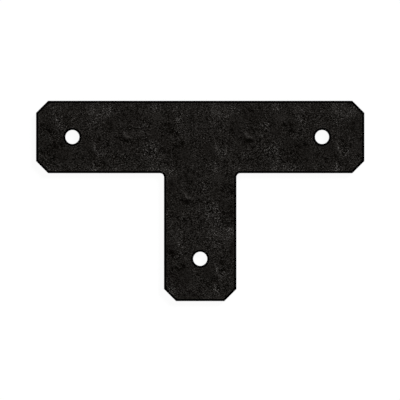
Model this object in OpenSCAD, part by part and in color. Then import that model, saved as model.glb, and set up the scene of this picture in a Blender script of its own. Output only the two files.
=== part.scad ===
// T plate bracket: a flat steel plate that ties a post to the beam it meets.
// The plate lies in the XY plane with its back face on Z = 0. The origin is where the centre lines
// of the cross arm and the leg meet, +X runs along the arm and the leg points to -Y.

/* [Outline] */
// Length of the cross arm, end to end
arm_length = 345.4; // [260:0.1:600]
// Width of the cross arm
arm_width = 76.2; // [50:0.1:120]
// Width of the leg
leg_width = 76.2; // [50:0.1:120]
// Reach of the leg beyond the edge of the arm
leg_reach = 134.6; // [90:0.1:300]
// Thickness of the plate
thickness = 6.35; // [3:0.05:12]

/* [Corners and edges] */
// Length that each 45 degree clip takes off the two sides of an outer corner
corner_clip = 12.7; // [3:0.1:24]
// Radius of the two inner corners, where the leg leaves the arm
inner_radius = 4.2; // [1:0.1:15]
// Width of the 45 degree break along every edge, front and back
edge_break = 1.3; // [0.2:0.05:1.4]

/* [Bolt holes] */
// Diameter of the holes
hole_diameter = 14.8; // [8:0.1:24]
// Centre of the left hole from the left end of the arm
left_hole_inset = 38.2; // [20:0.1:70]
// Centre of the right hole from the right end of the arm
right_hole_inset = 44.5; // [20:0.1:70]
// Centre of the leg hole from the foot of the leg
leg_hole_inset = 44.5; // [20:0.1:70]

/* [Hidden] */
$fn = 96;

plate_colour = "#1b1a18";
// Margin by which a cutter stands clear of the face it cuts through
overcut = 1;
arm_edge = arm_width / 2;
leg_edge = leg_width / 2;
foot_y = -arm_edge - leg_reach;
hole_centres = [
    [left_hole_inset - arm_length / 2, 0],
    [arm_length / 2 - right_hole_inset, 0],
    [0, foot_y + leg_hole_inset],
];

// Section across a bar of the plate, with its four edges broken at 45 degrees.
module bar_section(width) {
    half = width / 2;
    polygon([
        [-half + edge_break, 0],
        [half - edge_break, 0],
        [half, edge_break],
        [half, thickness - edge_break],
        [half - edge_break, thickness],
        [-half + edge_break, thickness],
        [-half, thickness - edge_break],
        [-half, edge_break],
    ]);
}

// Straight bar with broken edges, centred on the origin: its length lies along X before it is turned.
module bar(length, width, turn) {
    rotate([0, 0, turn])
        translate([-length / 2, 0, 0])
            rotate([90, 0, 90])
                linear_extrude(length)
                    bar_section(width);
}

// Rectangle of plate with clipped corners and broken edges, centred on the origin: four bars that
// cross each bound one pair of its sides, so the breaks meet in clean mitres at every corner.
module clipped_plate(length, width) {
    across_clips = (length + width - 2 * corner_clip) / sqrt(2);
    reach = 2 * (length + width);
    intersection() {
        bar(reach, width, 0);
        bar(reach, length, 90);
        bar(reach, across_clips, 45);
        bar(reach, across_clips, -45);
    }
}

// Round cutter through the plate that flares by the edge break at both faces.
module flared_cutter(radius) {
    flare = radius + edge_break + overcut;
    rotate_extrude()
        polygon([
            [0, -overcut],
            [flare, -overcut],
            [radius, edge_break],
            [radius, thickness - edge_break],
            [flare, thickness + overcut],
            [0, thickness + overcut],
        ]);
}

// Metal left in the inner corner on the +X side of the leg.
module inner_corner() {
    centre = [leg_edge + inner_radius, -arm_edge - inner_radius, 0];
    side = inner_radius + 2 * edge_break;
    difference() {
        translate([centre.x - side, centre.y, 0])
            cube([side, side, thickness]);
        translate(centre)
            flared_cutter(inner_radius);
    }
}

module t_plate() {
    color(plate_colour)
        difference() {
            union() {
                clipped_plate(arm_length, arm_width);
                translate([0, foot_y / 2, 0])
                    clipped_plate(leg_width, -foot_y);
                inner_corner();
                mirror([1, 0, 0])
                    inner_corner();
            }
            for (centre = hole_centres)
                translate(centre)
                    flared_cutter(hole_diameter / 2);
        }
}

t_plate();
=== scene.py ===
"""T plate bracket: a flat plate of black coated steel with clipped corners and three bolt holes.

The plate's solid is loaded as the frame. A finely cut copy of it stands in its place, so that the rough
rolled surface is real relief. The light, the floor and the camera follow the photograph.
"""

import math
from typing import NamedTuple

import bmesh
import bpy
import numpy as np
from mathutils import Matrix, Vector, kdtree


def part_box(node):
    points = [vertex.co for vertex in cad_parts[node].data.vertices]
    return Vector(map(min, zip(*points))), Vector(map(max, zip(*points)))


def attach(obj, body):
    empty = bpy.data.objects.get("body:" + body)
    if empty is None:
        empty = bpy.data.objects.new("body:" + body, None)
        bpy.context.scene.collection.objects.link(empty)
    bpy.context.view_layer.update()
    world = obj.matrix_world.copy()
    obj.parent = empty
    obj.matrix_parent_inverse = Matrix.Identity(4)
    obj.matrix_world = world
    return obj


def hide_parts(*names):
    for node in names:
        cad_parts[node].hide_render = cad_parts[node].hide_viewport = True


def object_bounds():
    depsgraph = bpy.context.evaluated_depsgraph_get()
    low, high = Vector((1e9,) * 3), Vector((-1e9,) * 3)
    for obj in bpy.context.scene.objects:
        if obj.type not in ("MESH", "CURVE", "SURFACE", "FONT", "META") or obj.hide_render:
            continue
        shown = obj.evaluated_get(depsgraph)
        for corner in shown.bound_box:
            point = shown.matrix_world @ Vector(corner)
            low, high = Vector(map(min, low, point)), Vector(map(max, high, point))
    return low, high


MM = 0.001

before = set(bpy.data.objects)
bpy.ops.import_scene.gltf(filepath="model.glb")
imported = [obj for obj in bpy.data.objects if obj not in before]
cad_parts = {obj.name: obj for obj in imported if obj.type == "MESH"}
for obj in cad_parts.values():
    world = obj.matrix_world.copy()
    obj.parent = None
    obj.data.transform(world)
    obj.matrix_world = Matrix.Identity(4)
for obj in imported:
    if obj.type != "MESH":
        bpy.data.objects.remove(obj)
cad_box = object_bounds()

# Cutting of the plate, in metres: a black lip along the edges of both faces, and square cells laid from
# the centre lines, which the two rolled faces divide further
EDGE_LIP = 1.1 * MM
CELL = 3.4 * MM
FRONT_CUTS = 3
BACK_CUTS = 2
# Corners nearer than the first of these are one, and a cutting line takes up corners within the second
WELD = 0.001 * MM
SNAP = 0.05 * MM
# Faces that meet within the first angle are one flat surface, and past the second they meet in a crisp edge
FLAT_ANGLE = math.radians(1)
SHARP_ANGLE = math.radians(20)
# A face looks straight up or down above this share of its normal, and sideways below the other
FACING = 0.99
SIDEWAYS = 0.01
# Sides of the plate, as the way they look along Z, and the places of its two materials
FRONT = 1
BACK = -1
COAT = 0
EDGE = 1

# Rolled surface, in millimetres: it fades into the rim, lies a little below it, and rises at a mark by the
# mark's strength. The marks come again at each print of the roll, one step away along both diagonals of the
# plate, and each side has a shift of its own
RIM_FADE = 3.0
SURFACE_DEPTH = 0.2
MARK_RISE = 0.08
ROLL_STEP = 64.0
FRONT_SHIFT = (-0.5, 0.5)
BACK_SHIFT = (23.0, 41.0)
# Tone of the coat, counted as a mark's strength: the rim is painted lighter, a painted highlight along
# the edge, and a rough patch lies darker, which its bright flecks make up for
RIM_HIGHLIGHT = 0.5
PATCH_TONE = -0.3
# Names under which vertices carry the coat's tone, with painted shade and highlights, and grain roughness
TONE_AND_SHADING_LAYER = "tone_and_shading"
CRUMBLE_LAYER = "crumble"


class Mark(NamedTuple):
    """A soft-edged mark of the roll: its middle and half sizes in millimetres, its turn in degrees from the
    arm, and how strongly it shows."""

    x: float
    y: float
    length: float
    width: float
    turn: float
    strength: float


# Sunk marks, darker: partly their own mottle, partly painted shade in their hollows
DARK_AND_SHADED_MARKS = [
    # A deep pit, the hollows about it, and two wide, shallow ones apart from it
    Mark(-31, 6.7, 3, 2.3, -15, -2.4),
    Mark(-36, 10, 8, 6, 0, -0.45),
    Mark(-75, 22, 16, 9, 0, -0.25),
    Mark(8, -14, 10, 12, 0, -0.2),
    Mark(-33.5, 13.5, 2, 1.5, 0, -0.9),
    Mark(-39, 12.8, 2.4, 1.6, 0, -0.9),
    Mark(-40.5, 8, 2.5, 1.2, 0, -0.4),
    Mark(-25.2, 3.8, 2.2, 1.3, -15, -2.0),
    # The hollow under a raised ledge, painted dark as the shade that falls below the ledge
    Mark(-79, -3.6, 5, 2.6, -10, -2.0),
    Mark(-86, -0.8, 3, 1.3, -15, -1.2),
    Mark(-74.5, -3, 3, 1.3, -8, -1.0),
    # Small pits, scores and hollows
    Mark(-86, 6, 4, 1.3, -50, -0.7),
    Mark(-18.5, -7, 2.6, 2.2, -20, -1.6),
    Mark(-26, -9.2, 4, 1.5, -12, -1.5),
    Mark(-36, -16, 4.5, 1.5, -5, -1.2),
    Mark(-40.5, -13, 3.2, 1.3, 100, -0.9),
    Mark(-30.5, -14.8, 2, 1.2, 25, -0.7),
    Mark(-28, -14, 11, 12, 0, -0.5),
    Mark(-26.5, -21.8, 2.6, 1.6, 0, -1.3),
    Mark(-25.6, -28, 2, 1.5, 90, -1.3),
    Mark(-38.5, -26, 5, 1.8, -25, -1.0),
    Mark(-30, -25, 1.8, 1.8, 0, -0.8),
    Mark(-70, 8.6, 9, 1.3, -8, -1.0),
    Mark(-58, 7, 3, 1, 15, -0.7),
    Mark(-62, 10.6, 1.8, 1.3, 90, -1.0),
    Mark(-64.5, -2.3, 3.5, 1.3, -12, -1.0),
    Mark(-57.3, -4, 2.6, 1.7, -40, -1.2),
    Mark(-65, -9, 1.8, 1.3, 0, -0.8),
    Mark(-52.5, -13.3, 2.2, 1.2, -10, -1.0),
    Mark(-82.5, -24, 3.2, 1.8, 20, -1.0),
    Mark(-89, -19.5, 3.4, 1.6, -55, -1.0),
    Mark(-66.5, -19.5, 3, 1.4, 90, -1.0),
    Mark(-75.5, -21.8, 3.2, 1.3, -55, -0.9),
    Mark(-66, -28.5, 2.6, 1.4, -40, -0.9),
    Mark(-75, 17, 2.6, 1.5, 0, -1.1),
    Mark(-75.5, 29, 5, 1.5, -32, -1.0),
    Mark(-80, 23.5, 4, 1.3, -58, -0.7),
    Mark(-66.5, 31.5, 1.6, 1.4, 90, -1.4),
    Mark(-66.2, 24.5, 2, 1.5, 0, -0.8),
    Mark(-34.5, 25.5, 4, 1.3, -8, -0.9),
    Mark(-37.5, 31, 4, 1.3, -55, -0.7),
    Mark(-23.5, 25.5, 2, 1.2, 0, -0.8),
    Mark(-52.5, 14.5, 3.4, 1.3, -20, -1.0),
    Mark(-58.5, 18.5, 2.4, 1.2, -45, -0.7),
    Mark(-43.5, -1, 5, 1.2, 75, -0.5),
    Mark(7, 18.5, 2.8, 1.4, 90, -1.0),
    Mark(22.3, -4, 3, 1.6, -38, -1.3),
    Mark(23.3, -11, 2.4, 1.8, 40, -1.2),
    Mark(30, -7, 4.5, 1.8, 80, -1.0),
    Mark(33, 15, 2, 2, 0, -1.3),
    Mark(32, 8, 3, 2.5, 90, -1.1),
    Mark(4.5, -23, 1.6, 1.6, 0, -1.1),
    Mark(5.8, -26.6, 2, 1.4, 0, -1.0),
    Mark(-6, -4, 2.2, 2, 0, -0.8),
    Mark(6, 1.5, 6, 1.2, -15, -0.8),
    Mark(13.5, -19, 6, 1.6, -55, -0.6),
    Mark(17, -27, 3.5, 1.4, -60, -0.9),
    Mark(-2, -16.8, 1.8, 1.6, 0, -0.8),
    Mark(26, -27, 4, 1.4, -65, -1.0),
    Mark(-16, 16, 3, 1.6, -15, -0.6),
    Mark(-12, 21, 5, 1.5, 0, -0.5),
    Mark(-15.5, 6, 1.8, 1.3, 0, -0.9),
    Mark(-15.5, -23.5, 2, 1.5, -45, -0.6),
]
# Raised marks, lighter: partly their own mottle, partly painted highlight on slopes facing the key lamp
LIGHT_AND_LIT_MARKS = [
    # The ledge: an arc that falls and then runs to the right, painted light as its lit slope
    Mark(-79.8, 3.5, 3, 1.3, -70, 2.2),
    Mark(-76, 0.5, 3.6, 1.2, -10, 2.1),
    # Small rises and lighter areas
    Mark(-75.3, -5.8, 1.5, 1.2, -75, 0.8),
    Mark(-67, 3, 6, 1.8, -10, 0.4),
    Mark(-77.5, -12.7, 2.5, 1.5, 0, 0.6),
    Mark(-82, -18.5, 2.4, 1.8, 45, 0.6),
    Mark(-83.3, 13.3, 2, 1.8, 0, 0.8),
    Mark(-72, 13, 3, 1.3, 0, 0.3),
    Mark(-59.5, 13.7, 1.8, 1.6, 0, 0.8),
    Mark(-58.5, 10, 1.8, 1.2, 0, 0.7),
    Mark(-73, 34, 3.2, 1.2, -50, 1.0),
    Mark(-47.5, 30, 3.2, 1.6, 20, 1.5),
    Mark(-49, 34.5, 3, 1.3, 90, 1.4),
    Mark(-57, 23, 2, 2, 0, 0.5),
    Mark(-45.5, 21, 6, 5, 0, 0.45),
    Mark(-25, 31, 2.2, 2, 0, 1.1),
    Mark(-20.5, 28, 2.2, 2.2, 0, 0.8),
    Mark(-28.5, 28, 2.6, 1.6, 60, 0.7),
    Mark(-13.5, 32, 3, 1.6, 90, 0.7),
    Mark(-24, 18.8, 2.3, 1.7, 0, 1.6),
    Mark(-21.5, 13.5, 4.5, 1.3, -58, 0.8),
    Mark(-1, 27, 2.4, 2, 0, 0.5),
    Mark(-5, 12.5, 3, 2.5, 0, 0.5),
    Mark(-1, 6.5, 2.5, 2.5, 0, 0.5),
    Mark(-6.5, 0.5, 2.5, 1.2, 45, 0.6),
    Mark(-16, 2, 3, 1.3, -55, 0.9),
    Mark(-14.5, -1.5, 1.8, 1.2, 90, 0.7),
    Mark(-28.5, -3, 2.5, 2, 20, 0.4),
    Mark(-6.8, -14.5, 2.5, 1.6, 90, 0.6),
    Mark(-50, -4.5, 3.2, 1.4, -55, 0.5),
    Mark(-50.5, -9, 2.5, 1.2, 0, 0.4),
    Mark(-54.5, -9.7, 2.5, 1.2, 0, 0.7),
    Mark(-47.5, -12.3, 2.4, 1.5, 20, 0.9),
    Mark(-61, -13, 3.5, 1.2, 0, 0.5),
    Mark(-56.5, -22.5, 7.5, 1.3, -33, 0.6),
    Mark(-45.5, -24.5, 3, 2, 60, 0.6),
    Mark(22, 26, 14, 8, 0, 0.3),
    Mark(-64, 24, 60, 9, 0, 0.15),
    Mark(13.5, 32, 5, 3.4, 90, 1.0),
    Mark(14.5, 25.5, 2, 2.4, 0, 0.7),
    Mark(20, 24.5, 4, 1.5, -30, 0.9),
    Mark(26, 30, 4, 2.4, -15, 1.0),
    Mark(32.5, 28, 3, 2, 90, 1.1),
    Mark(28, 22.5, 4.5, 2.2, 10, 0.8),
    Mark(15.5, 13.5, 4, 1.2, -20, 0.7),
    Mark(11.5, 6, 2, 1.5, 0, 0.5),
    Mark(20.8, 6, 3, 1.5, 90, 0.7),
    # A streak that bends to the right as it falls, and the flecks beside its foot
    Mark(14.8, -5, 3.2, 0.9, -70, 1.4),
    Mark(16.6, -10.6, 2.8, 0.9, -82, 3.6),
    Mark(19, -16, 3.4, 0.9, -62, 1.6),
    Mark(25.5, -16.5, 2.5, 1.3, 60, 1.2),
    Mark(23.5, -20.8, 2.4, 1.3, 10, 1.1),
    Mark(31.5, -24.5, 2.2, 1.8, 90, 0.6),
]
# Areas of rougher grain, above zero, and of smoother grain, below
GRAIN_PATCHES = [
    Mark(-52, -13, 9, 8, 0, 1.2),
    Mark(-60, 11, 5, 6, 0, 0.8),
    Mark(-77, 1.5, 5, 5, 0, -0.6),
    Mark(-48, 33, 5, 6, 0, 0.8),
    Mark(34, 31, 8, 7, 0, 0.7),
    Mark(-21, 17, 12, 4, -65, 0.6),
    Mark(-24, 4, 6, 4, 0, 0.5),
    Mark(14, 20, 6, 9, 0, 0.5),
    Mark(23, -13, 4, 5, 0, 0.6),
    Mark(25, -18, 5, 5, 0, 0.4),
    Mark(-82, -21, 7, 5, 0, 0.5),
    Mark(-46, -26, 7, 5, 0, 0.4),
    Mark(-17, -18, 9, 10, 0, -0.75),
    Mark(8, -12, 6, 8, 0, -0.7),
    Mark(-49, 5, 5, 7, 0, -0.7),
    Mark(-37, -7, 7, 6, 0, -0.65),
    Mark(-92, 13, 6, 9, 0, -0.65),
    Mark(-77, 23, 12, 5, 0, -0.6),
    Mark(-45, 21, 8, 5, 0, -0.6),
    Mark(-86, -10, 6, 5, 0, -0.6),
    Mark(-33, 14, 6, 5, 0, -0.4),
    Mark(14, -22, 4, 4, 0, -0.4),
]

# Grain of the coat: its width in millimetres, how many times longer it is, its turn from the arm, and its
# swirl. The real grain is finer than a pixel of the photograph, so it is drawn as coarse as it needs to
# show there
GRAIN_SIZE = 0.7
GRAIN_STRETCH = 2.2
GRAIN_TURN = math.radians(-27)
GRAIN_SWIRL = 0.3
# Height of the grain on the faces and on the edges, in millimetres, and the finer layers that each adds
GRAIN_BUMP = 0.11
EDGE_BUMP = 0.04
GRAIN_DETAIL = 0.0
EDGE_DETAIL = 2.0
# Middle of the values that a grain takes, from 0 to 1
GRAIN_MIDDLE = 0.5
# Shade of the coat, from 0 for a pit to 1 for a bright fleck: its level, the contrast of the plain grain
# about it, what a rough patch adds to that contrast, and what a mark of strength 1 adds to the shade
COAT_LEVEL = 0.311
GRAIN_CONTRAST = 1.58
PATCH_CONTRAST = 1.3
MARK_SHARE = 0.155
# Colours as sRGB: those of the coat by their shade, from a pit through hollows, partly painted shade, the
# plain coat and lighter grain to a bright fleck, partly painted highlight, and the two that mottle the
# edges
COAT_COLOURS = {
    0.0: "#020100",
    0.2: "#0c0a08",
    0.4: "#1d1b19",
    0.6: "#2b2927",
    0.8: "#3c3a38",
    1.0: "#5e5c5a",
}
EDGE_BLACK = "#000000"
EDGE_RUBBED = "#050404"
# Roughness of the coat in a pit and at a bright fleck, and its bounds on the edges. So matt a coat mirrors
# hardly anything
PIT_ROUGHNESS = 0.5
FLECK_ROUGHNESS = 0.35
EDGE_ROUGHNESS = (0.7, 0.9)
COAT_SPECULAR = 0.02
EDGE_SPECULAR = 0.0

# Camera over the photograph's frame: where the plate's centre lines cross in that frame, in pixels, and a
# lens, in millimetres, that is long enough to show hardly any perspective
PHOTO_SIDE = 400
PIXEL = 1.05198 * MM
CROSSING_COLUMN = 200.196
CROSSING_ROW = 136.971
LENS = 1000.0

# Floor, in metres: half its side, and how far it lies below the plate. Its glow and the shade of its card
# together make white
FLOOR_HALF = 8.0
FLOOR_GAP = 0.1 * MM
FLOOR_GLOW = 0.94
FLOOR_CARD = 0.07


class Lamp(NamedTuple):
    """A wide, far lamp: how far round it stands from the arm's right end and up from the floor, in degrees,
    and the share of a white card's full brightness that it alone gives a card that lies flat."""

    name: str
    azimuth: float
    elevation: float
    level: float


# The strongest lamp stands at the upper right, low enough to rake the relief
LAMPS = [
    Lamp("key_lamp", 45, 32, 0.7),
    Lamp("fill_lamp", 225, 45, 0.12),
    Lamp("left_lamp", 150, 45, 0.09),
    Lamp("foot_lamp", 300, 45, 0.09),
]
LAMP_SPREAD = math.radians(20)
ROOM_LEVEL = 0.05


def linear(hex_colour):
    """A colour written as sRGB hex, as the linear values that the shaders take."""
    channels = [int(hex_colour[i:i + 2], 16) / 255 for i in (1, 3, 5)]
    return [c / 12.92 if c <= 0.04045 else ((c + 0.055) / 1.055) ** 2.4 for c in channels] + [1.0]


def add_node(tree, kind, settings=None, inputs=None):
    """Adds a node to a tree: settings are its own properties, and inputs hold values or sockets to link."""
    node = tree.nodes.new(kind)
    for name, value in (settings or {}).items():
        setattr(node, name, value)
    for name, value in (inputs or {}).items():
        if isinstance(value, bpy.types.NodeSocket):
            tree.links.new(value, node.inputs[name])
        else:
            node.inputs[name].default_value = value
    return node


def start_material(name):
    """A new material and its emptied node tree."""
    material = bpy.data.materials.new(name)
    material.use_nodes = True
    material.node_tree.nodes.clear()
    return material, material.node_tree


def mesh_object(name, shape):
    """Makes a finished bmesh an object in the scene."""
    mesh = bpy.data.meshes.new(name)
    shape.to_mesh(mesh)
    shape.free()
    made = bpy.data.objects.new(name, mesh)
    bpy.context.scene.collection.objects.link(made)
    return made


def lies_across(face, axis, line):
    """Whether a face has corners on both sides of a line across an axis."""
    sides = [vert.co[axis] - line for vert in face.verts]
    return min(sides) < -SNAP and max(sides) > SNAP


def cut_cells(plate, faces, pitch, low, high):
    """Cuts faces along lines a pitch apart, counted from the plate's centre lines."""
    for axis in (0, 1):
        across = Vector((0, 0, 0))
        across[axis] = 1
        for count in range(math.ceil(low[axis] / pitch), math.ceil(high[axis] / pitch)):
            line = count * pitch
            crossed = [face for face in faces if lies_across(face, axis, line)]
            if not crossed:
                continue
            whole = set(faces).difference(crossed)
            edges = {edge for face in crossed for edge in face.edges}
            cut = bmesh.ops.bisect_plane(
                plate, geom=crossed + list(edges), dist=SNAP, plane_co=across * line, plane_no=across
            )
            faces = list(whole) + [item for item in cut["geom"] if isinstance(item, bmesh.types.BMFace)]


def runs_aslant(edge):
    """Whether an edge lies inside one flat, like surface and follows neither side of the cells."""
    run = edge.verts[0].co - edge.verts[1].co
    inside = edge.calc_face_angle(math.pi) < FLAT_ANGLE and min(abs(run.x), abs(run.y)) > WELD
    return inside and edge.link_faces[0].material_index == edge.link_faces[1].material_index


def is_square(face):
    """Whether a cell has four square corners."""
    corners = [abs(loop.calc_angle() - math.pi / 2) for loop in face.loops]
    return len(corners) == 4 and max(corners) < FLAT_ANGLE


def rolled_cells(plate, side):
    """The faces inside the lip of one side."""
    return [face for face in plate.faces if face.normal.z * side > FACING and face.material_index == COAT]


def divide_face(plate, side, cuts, low, high):
    """Divides the rolled cells of one side: square ones take a grid of cuts, and those that the lip has
    trimmed are cut along the lines of that grid."""
    cells = rolled_cells(plate, side)
    trimmed = [face for face in cells if not is_square(face)]
    squares = {edge for face in cells if is_square(face) for edge in face.edges}
    bmesh.ops.subdivide_edges(plate, edges=list(squares), cuts=cuts, use_grid_fill=True)
    cut_cells(plate, trimmed, CELL / (cuts + 1), low, high)
    plate.normal_update()


def has_straight_corner(face):
    """Whether one of a face's corners lies on a straight side, where a triangle could collapse."""
    return any(abs(loop.calc_angle() - math.pi) < FLAT_ANGLE for loop in face.loops)


def prints_from(x, y):
    """How many prints of the roll points lie from the middle, along its rising and its falling diagonal."""
    return (x + y) / (2 * ROLL_STEP), (x - y) / (2 * ROLL_STEP)


def marks_at(points, marks):
    """Sum of the marks' strengths at points: each is full at the middle of its nearest print and fades
    outwards as a bell."""
    total = np.zeros(len(points))
    for mark in marks:
        rising, falling = prints_from(points[:, 0] - mark.x, points[:, 1] - mark.y)
        rising -= np.round(rising)
        falling -= np.round(falling)
        x = ROLL_STEP * (rising + falling)
        y = ROLL_STEP * (rising - falling)
        cosine = math.cos(math.radians(mark.turn))
        sine = math.sin(math.radians(mark.turn))
        along = (x * cosine + y * sine) / mark.length
        across = (y * cosine - x * sine) / mark.width
        total += mark.strength * np.exp(-(along ** 2 + across ** 2))
    return total


def roll_face(plate, side, shift):
    """Presses the rolled surface into one side, its print shifted, and notes on the vertices the coat's
    tone, painted shade and highlights included, and the roughness of its grain."""
    inner = set(rolled_cells(plate, side))
    verts = list({vert for face in inner for vert in face.verts})
    rim = [vert for vert in verts if any(face not in inner for face in vert.link_faces)]
    tree = kdtree.KDTree(len(rim))
    for index, vert in enumerate(rim):
        tree.insert(vert.co, index)
    tree.balance()
    fade = np.array([min(tree.find(vert.co)[2] / (RIM_FADE * MM), 1) for vert in verts])
    points = np.array([vert.co[:2] for vert in verts]) / MM + shift
    marks = marks_at(points, DARK_AND_SHADED_MARKS + LIGHT_AND_LIT_MARKS)
    drop = np.clip(SURFACE_DEPTH - MARK_RISE * marks, 0, None) * fade * MM
    crumble = marks_at(points, GRAIN_PATCHES)
    # Tone: mottle, with painted shade in sunk marks and painted highlights on raised ones and inside the
    # rim
    tone_and_shading = marks + PATCH_TONE * crumble + RIM_HIGHLIGHT * (1 - fade) ** 2
    tone_and_shading_layer = plate.verts.layers.float[TONE_AND_SHADING_LAYER]
    crumble_layer = plate.verts.layers.float[CRUMBLE_LAYER]
    for vert, depth, light, rough in zip(verts, drop, tone_and_shading, crumble):
        vert.co.z -= side * depth
        vert[tone_and_shading_layer] = light
        vert[crumble_layer] = rough


def merged_copy(node):
    """A copy of the solid's mesh, merged into whole faces, whose vertices can carry the coat's notes."""
    plate = bmesh.new()
    plate.from_mesh(node.data)
    bmesh.ops.remove_doubles(plate, verts=plate.verts, dist=WELD)
    bmesh.ops.dissolve_limit(plate, angle_limit=FLAT_ANGLE, verts=plate.verts, edges=plate.edges)
    plate.verts.layers.float.new(TONE_AND_SHADING_LAYER)
    plate.verts.layers.float.new(CRUMBLE_LAYER)
    return plate


def blacken_edges(plate):
    """Gives the broken edges, and a lip beside them on both sides, the coat of the edges."""
    for face in plate.faces:
        face.material_index = EDGE if SIDEWAYS < abs(face.normal.z) < FACING else COAT
    for side in (FRONT, BACK):
        inner = rolled_cells(plate, side)
        lip = bmesh.ops.inset_region(
            plate, faces=inner, thickness=EDGE_LIP, use_boundary=True, use_even_offset=True
        )
        for face in lip["faces"]:
            face.material_index = EDGE


def cut_plate(plate, low, high):
    """Cuts the whole plate into cells, and the cells of its rolled faces finer."""
    cut_cells(plate, plate.faces[:], CELL, low, high)
    plate.normal_update()
    aslant = [edge for edge in plate.edges if runs_aslant(edge)]
    bmesh.ops.dissolve_edges(plate, edges=aslant, use_verts=True)
    divide_face(plate, FRONT, FRONT_CUTS, low, high)
    divide_face(plate, BACK, BACK_CUTS, low, high)
    straight = [face for face in plate.faces if has_straight_corner(face)]
    bmesh.ops.triangulate(plate, faces=straight, quad_method="SHORT_EDGE", ngon_method="BEAUTY")
    plate.normal_update()


def smooth_shading(plate):
    """Shades the plate smooth between its crisp edges."""
    for face in plate.faces:
        face.smooth = True
    for edge in plate.edges:
        edge.smooth = edge.calc_face_angle(0) < SHARP_ANGLE


def rolled_plate(node):
    """The plate as a mesh piece: the solid's own form, cut into cells, with both faces rolled rough."""
    low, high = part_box(node.name)
    plate = merged_copy(node)
    blacken_edges(plate)
    cut_plate(plate, low, high)
    smooth_shading(plate)
    roll_face(plate, FRONT, FRONT_SHIFT)
    roll_face(plate, BACK, BACK_SHIFT)
    return mesh_object("rolled_plate", plate)


def textured_black_coat():
    """Matt black coat over rough rolled plate: a warm near-black, mottled by its grain and marks, with
    painted shade in sunk marks and painted highlights on raised ones, and hardly any shine."""
    material, tree = start_material("textured_black_coat")
    place = add_node(tree, "ShaderNodeTexCoord").outputs["Object"]
    combed = add_node(tree, "ShaderNodeMapping", {"vector_type": "TEXTURE"}, {
        "Vector": place, "Rotation": (0, 0, GRAIN_TURN), "Scale": (GRAIN_STRETCH, 1, 1),
    }).outputs["Vector"]
    grain = add_node(tree, "ShaderNodeTexNoise", inputs={
        "Vector": combed, "Scale": 1 / (GRAIN_SIZE * MM), "Detail": GRAIN_DETAIL,
        "Distortion": GRAIN_SWIRL,
    }).outputs["Fac"]
    tone_and_shading = add_node(tree, "ShaderNodeAttribute", {"attribute_name": TONE_AND_SHADING_LAYER}).outputs["Fac"]
    crumble = add_node(tree, "ShaderNodeAttribute", {"attribute_name": CRUMBLE_LAYER}).outputs["Fac"]
    contrast = add_node(tree, "ShaderNodeMath", {"operation": "MULTIPLY_ADD"}, {
        0: crumble, 1: PATCH_CONTRAST, 2: GRAIN_CONTRAST,
    }).outputs[0]
    centred = add_node(tree, "ShaderNodeMath", {"operation": "SUBTRACT"}, {
        0: grain, 1: GRAIN_MIDDLE,
    }).outputs[0]
    speckle = add_node(tree, "ShaderNodeMath", {"operation": "MULTIPLY_ADD"}, {
        0: centred, 1: contrast, 2: COAT_LEVEL,
    }).outputs[0]
    shade = add_node(tree, "ShaderNodeMath", {"operation": "MULTIPLY_ADD"}, {
        0: tone_and_shading, 1: MARK_SHARE, 2: speckle,
    }).outputs[0]
    ramp = add_node(tree, "ShaderNodeValToRGB", inputs={"Fac": shade})
    stops = ramp.color_ramp.elements
    while len(stops) < len(COAT_COLOURS):
        stops.new(1.0)
    for stop, (position, colour) in zip(stops, COAT_COLOURS.items()):
        stop.position = position
        stop.color = linear(colour)
    rough = add_node(tree, "ShaderNodeMapRange", inputs={
        "Value": shade, "To Min": PIT_ROUGHNESS, "To Max": FLECK_ROUGHNESS,
    }).outputs["Result"]
    bump = add_node(tree, "ShaderNodeBump", inputs={
        "Height": speckle, "Distance": GRAIN_BUMP * MM,
    }).outputs["Normal"]
    coat = add_node(tree, "ShaderNodeBsdfPrincipled", inputs={
        "Base Color": ramp.outputs["Color"], "Roughness": rough, "Normal": bump,
        "Specular IOR Level": COAT_SPECULAR,
    })
    add_node(tree, "ShaderNodeOutputMaterial", inputs={"Surface": coat.outputs["BSDF"]})
    return material


def dense_black_edge():
    """The coat of the broken edges and of the lip beside them: dense black with a faint mottle and no
    shine, which draws a dark line round the plate and its holes."""
    material, tree = start_material("dense_black_edge")
    place = add_node(tree, "ShaderNodeTexCoord").outputs["Object"]
    grain = add_node(tree, "ShaderNodeTexNoise", inputs={
        "Vector": place, "Scale": 1 / (GRAIN_SIZE * MM), "Detail": EDGE_DETAIL,
    }).outputs["Fac"]
    rough = add_node(tree, "ShaderNodeMapRange", inputs={
        "Value": grain, "To Min": EDGE_ROUGHNESS[0], "To Max": EDGE_ROUGHNESS[1],
    }).outputs["Result"]
    mottle = add_node(tree, "ShaderNodeMix", {"data_type": "RGBA"}, {
        "Factor": grain, "A": linear(EDGE_BLACK), "B": linear(EDGE_RUBBED),
    }).outputs["Result"]
    bump = add_node(tree, "ShaderNodeBump", inputs={
        "Height": grain, "Distance": EDGE_BUMP * MM,
    }).outputs["Normal"]
    coat = add_node(tree, "ShaderNodeBsdfPrincipled", inputs={
        "Base Color": mottle, "Roughness": rough, "Normal": bump, "Specular IOR Level": EDGE_SPECULAR,
    })
    add_node(tree, "ShaderNodeOutputMaterial", inputs={"Surface": coat.outputs["BSDF"]})
    return material


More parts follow.
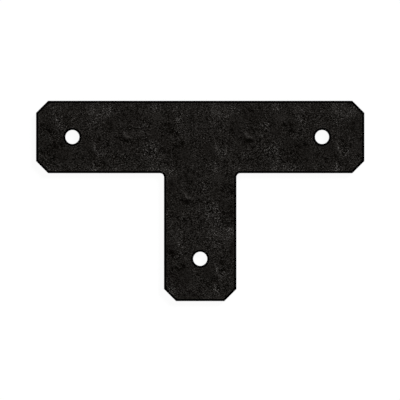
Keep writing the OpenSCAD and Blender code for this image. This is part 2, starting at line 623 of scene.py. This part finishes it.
def white_card():
    """Matt white card under the plate: it glows white wherever it is seen, mirrored or seen through, and
    its own diffuse part keeps the plate's shadow."""
    material, tree = start_material("white_card")
    path = add_node(tree, "ShaderNodeLightPath").outputs
    seen = add_node(tree, "ShaderNodeMath", {"operation": "ADD"}, {
        0: path["Is Camera Ray"], 1: path["Is Glossy Ray"],
    }).outputs[0]
    seen = add_node(tree, "ShaderNodeMath", {"operation": "ADD", "use_clamp": True}, {
        0: seen, 1: path["Is Transmission Ray"],
    }).outputs[0]
    level = add_node(tree, "ShaderNodeMath", {"operation": "MULTIPLY"}, {
        0: seen, 1: FLOOR_GLOW,
    }).outputs[0]
    glow = add_node(tree, "ShaderNodeEmission", inputs={"Strength": level})
    card = add_node(tree, "ShaderNodeBsdfDiffuse", inputs={"Color": [FLOOR_CARD] * 3 + [1]})
    both = add_node(tree, "ShaderNodeAddShader", inputs={0: glow.outputs[0], 1: card.outputs[0]})
    add_node(tree, "ShaderNodeOutputMaterial", inputs={"Surface": both.outputs[0]})
    return material


def lay_floor():
    """A wide white card, just under the plate's back."""
    card = bmesh.new()
    lower = Matrix.Translation((0, 0, -FLOOR_GAP))
    bmesh.ops.create_grid(card, x_segments=1, y_segments=1, size=FLOOR_HALF, matrix=lower)
    floor = mesh_object("floor", card)
    floor.data.materials.append(white_card())


def hang_lamp(lamp):
    """Hangs a lamp that lights the whole plate evenly from one side."""
    turn = math.radians(lamp.azimuth)
    tilt = math.radians(lamp.elevation)
    outwards = Vector((math.cos(turn) * math.cos(tilt), math.sin(turn) * math.cos(tilt), math.sin(tilt)))
    light = bpy.data.lights.new(lamp.name, "SUN")
    light.angle = LAMP_SPREAD
    light.energy = lamp.level * math.pi / math.sin(tilt)
    holder = bpy.data.objects.new(lamp.name, light)
    holder.location = outwards
    holder.rotation_euler = outwards.to_track_quat("Z", "Y").to_euler()
    bpy.context.scene.collection.objects.link(holder)


def light_plate():
    """Soft lamps on all sides, in a dim white room."""
    for lamp in LAMPS:
        hang_lamp(lamp)
    room = bpy.data.worlds.new("dim_room")
    room.use_nodes = True
    background = room.node_tree.nodes["Background"]
    background.inputs["Strength"].default_value = ROOM_LEVEL
    background.inputs["Color"].default_value = (1, 1, 1, 1)
    bpy.context.scene.world = room


def aim_camera():
    """Looks straight down on the plate from far off, over the photograph's frame."""
    camera = bpy.data.cameras.new("camera")
    camera.lens = LENS
    holder = bpy.data.objects.new("camera", camera)
    middle = PHOTO_SIDE / 2
    height = cad_box[1].z + PHOTO_SIDE * PIXEL * camera.lens / camera.sensor_width
    holder.location = ((middle - CROSSING_COLUMN) * PIXEL, (CROSSING_ROW - middle) * PIXEL, height)
    bpy.context.scene.collection.objects.link(holder)
    bpy.context.scene.camera = holder


plate = rolled_plate(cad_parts["t_plate"])
plate.data.materials.append(textured_black_coat())
plate.data.materials.append(dense_black_edge())
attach(plate, "root")
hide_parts("t_plate")
lay_floor()
light_plate()
aim_camera()
bpy.context.scene.view_settings.view_transform = "Standard"
